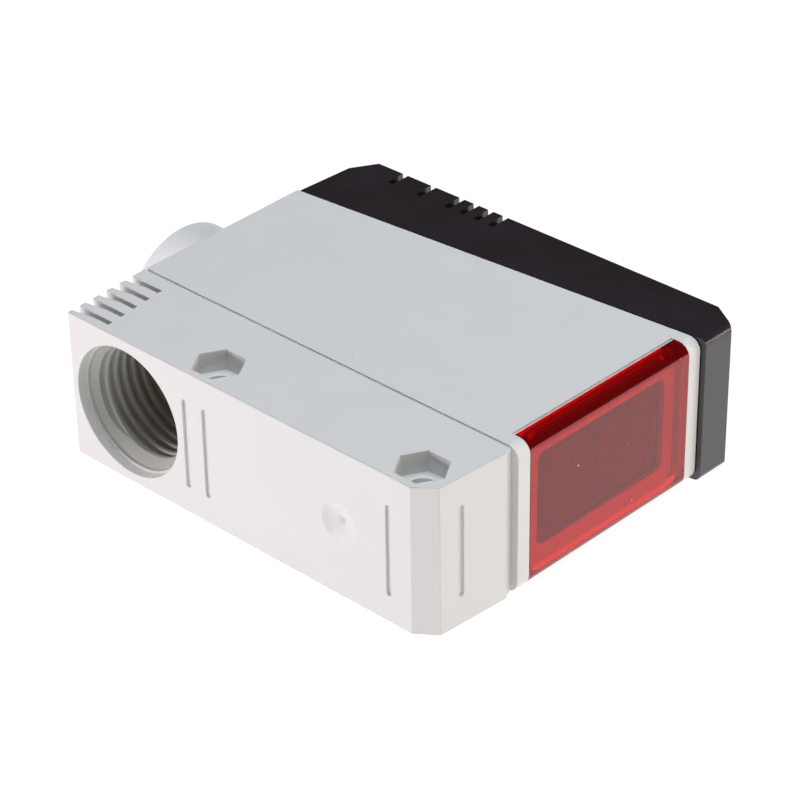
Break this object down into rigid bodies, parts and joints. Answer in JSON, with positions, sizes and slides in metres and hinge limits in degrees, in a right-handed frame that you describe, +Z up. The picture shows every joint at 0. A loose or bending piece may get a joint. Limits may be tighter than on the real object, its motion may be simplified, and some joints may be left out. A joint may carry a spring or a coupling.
{
  "type": "retroreflective photoelectric sensor",
  "caption": "Flat block photoelectric sensor with a terminal base, threaded cable entry, red wrap-round window and black adjuster cover.",
  "frame": {"origin": "middle of the object's box on the surface that the sensor lies on", "axes": "+X out of the red window, +Y from the threaded cable entry to the black cover, +Z up from the large side it lies on"},
  "size_m": [0.0834, 0.0654, 0.025],
  "materials": {
    "grey_plastic": "light grey moulded plastic, fine satin texture",
    "base_plastic": "warm light grey moulded plastic, satin",
    "black_gloss": "black moulded plastic, semi-gloss",
    "red_window": "transparent red plastic, polished",
    "gasket_grey": "dark rubber",
    "holder_black": "black moulded plastic, matt inside",
    "lens_clear": "clear acrylic with a red tint",
    "filter_film": "grey polarising film",
    "board_green": "green solder mask",
    "relay_blue": "blue moulded case",
    "core_steel": "varnished laminations",
    "sleeve_blue": "can with a dark sleeve",
    "varistor_blue": "blue dipped coating",
    "chip_black": "black moulded case",
    "led_red": "red tinted case",
    "detector_dark": "dark filter case",
    "screw_steel": "zinc-plated steel",
    "terminal_brass": "plated brass",
    "block_grey": "dark grey moulded plastic",
    "deck_grey": "light grey moulded plastic",
    "rotor_cream": "cream moulded plastic",
    "rotor_orange": "orange moulded plastic",
    "lamp_orange": "orange tinted case",
    "lamp_green": "green tinted case"
  },
  "bodies": {
    "housing": {"terminal_base": "base_plastic", "main_housing": "grey_plastic", "top_cover": "black_gloss", "front_window": "red_window", "base_gasket": "gasket_grey", "cover_gasket": "gasket_grey", "lens_holder": "holder_black", "emitter_lens": "lens_clear", "receiver_lens": "lens_clear", "emitter_polariser": "filter_film", "receiver_polariser": "filter_film", "optics_board": "board_green", "emitter_led": "led_red", "receiver_photodiode": "detector_dark", "optics_header": "chip_black", "main_board": "board_green", "output_relay": "relay_blue", "supply_transformer": "core_steel", "smoothing_capacitor": "sleeve_blue", "surge_varistor": "varistor_blue", "bridge_rectifier": "chip_black", "control_chip": "chip_black", "control_board": "board_green", "sensitivity_trimmer": "varistor_blue", "mode_switch": "chip_black", "output_indicator": "lamp_orange", "stability_indicator": "lamp_green", "control_deck": "deck_grey", "deck_screws": "screw_steel", "terminal_block": "block_grey", "terminal_clamps": "terminal_brass", "terminal_screws": "screw_steel", "link_pins": "terminal_brass", "board_screws": "screw_steel"},
    "adjuster": {"sensitivity_adjuster": "rotor_cream"},
    "selector": {"mode_selector": "rotor_orange"}
  },
  "joints": [
    {"name": "sensitivity_turn", "type": "hinge", "parent": "housing", "child": "adjuster", "pos_m": [-0.02174, 0.0123, 0.0149], "axis": [0, 1, 0], "range_deg": [-135, 135]},
    {"name": "mode_turn", "type": "hinge", "parent": "housing", "child": "selector", "pos_m": [-0.01029, 0.0123, 0.0149], "axis": [0, 1, 0], "range_deg": [0, 90]}
  ]
}
